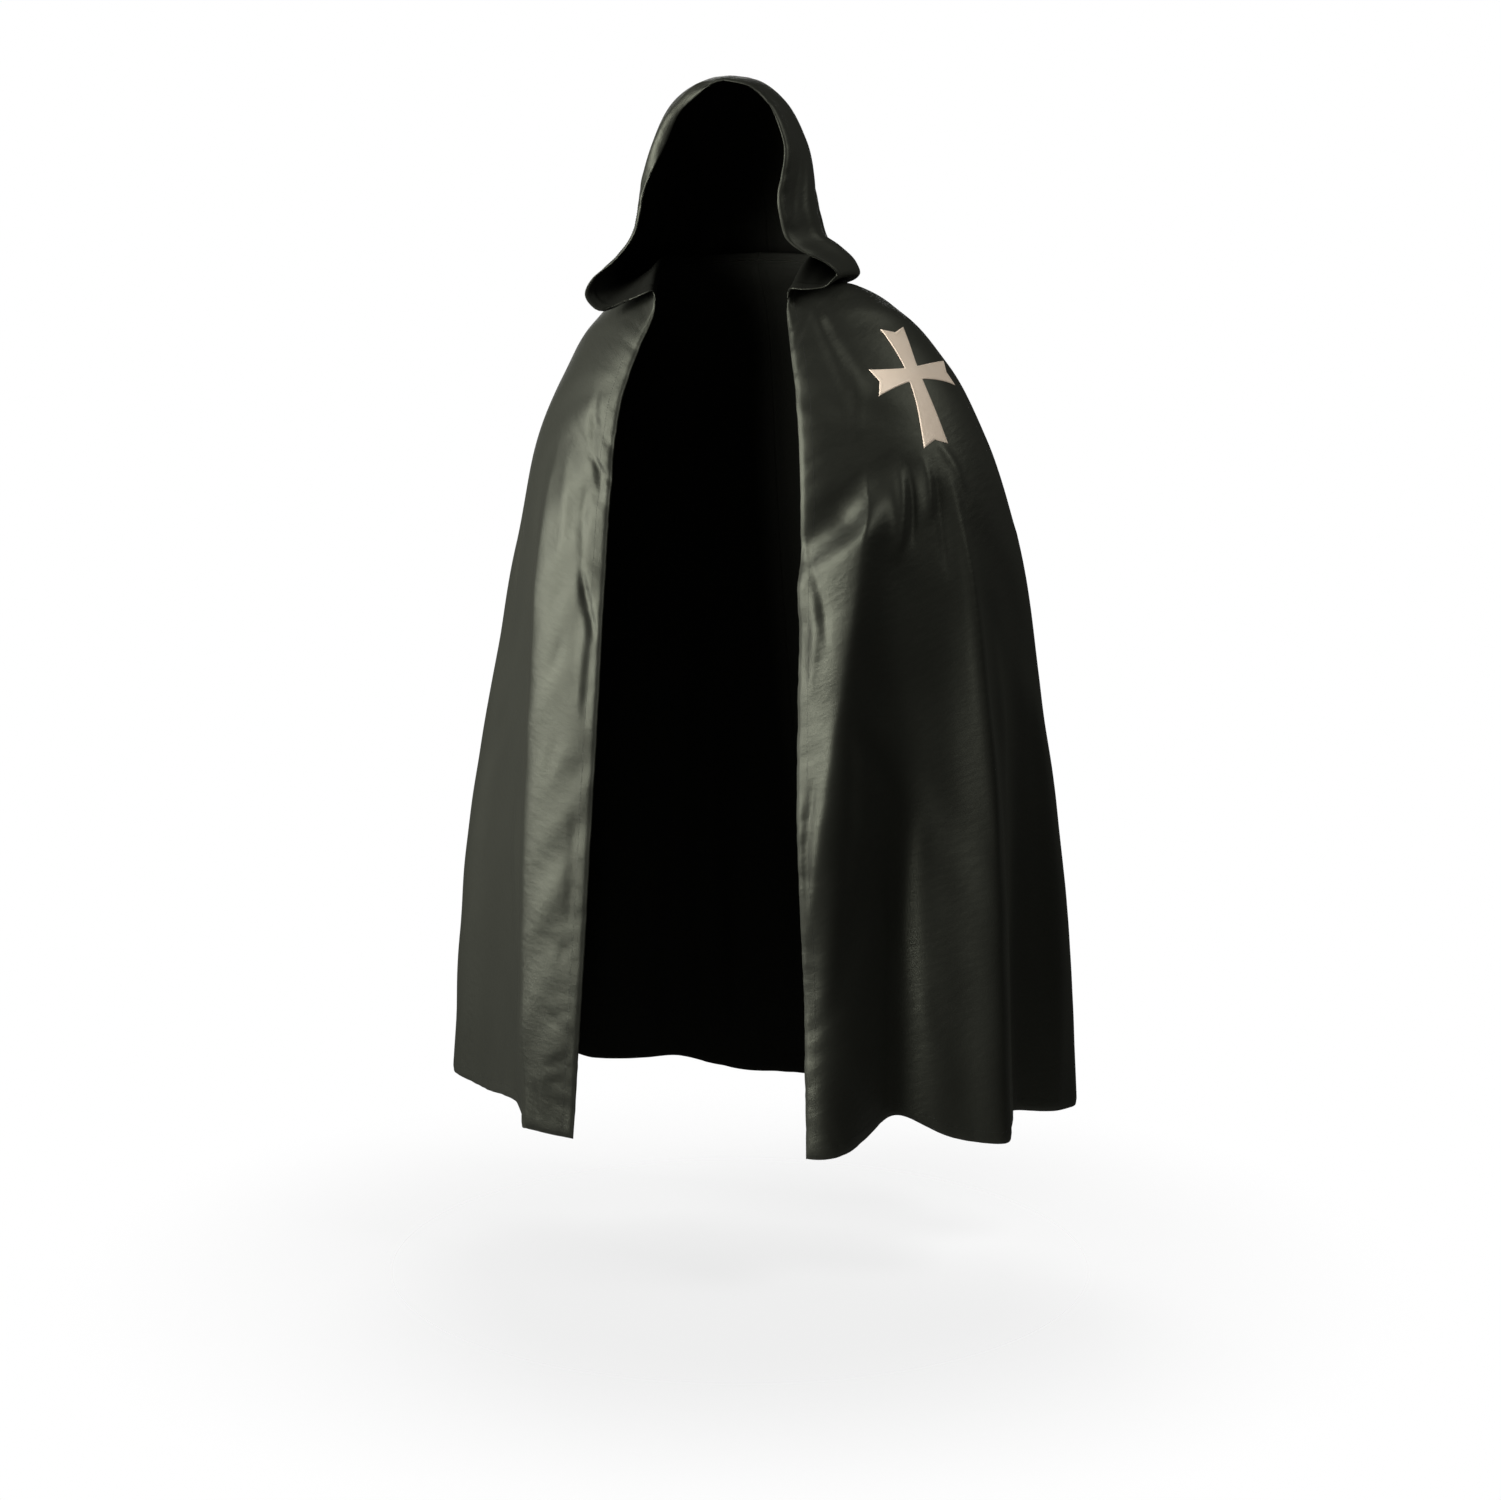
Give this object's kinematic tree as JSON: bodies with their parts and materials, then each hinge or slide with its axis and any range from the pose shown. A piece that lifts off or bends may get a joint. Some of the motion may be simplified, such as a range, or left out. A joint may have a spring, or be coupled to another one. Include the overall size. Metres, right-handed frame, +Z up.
{
  "type": "hooded cape",
  "caption": "Long black hooded cape worn open at the front, hanging in soft folds from neck to ankle, with a pale cloth cross sewn on the left arm.",
  "frame": {"origin": "middle of the neck seam, level with the seam at the sides of the neck, where the wearer's neck and shoulders carry the cape", "axes": "+Z up along the wearer, -Y towards the open front, +X towards the wearer's left arm"},
  "size_m": [1.0287, 0.5534, 1.6133],
  "materials": {
    "cape_cloth": "smooth black twill with a soft sheen",
    "hood_cloth": "smooth black twill with a soft sheen",
    "cross_cloth": "matt off-white cotton"
  },
  "bodies": {
    "root": {"cape_left": "cape_cloth", "cape_right": "cape_cloth", "hood_left": "hood_cloth", "hood_right": "hood_cloth", "shoulder_cross": "cross_cloth"}
  },
  "joints": []
}
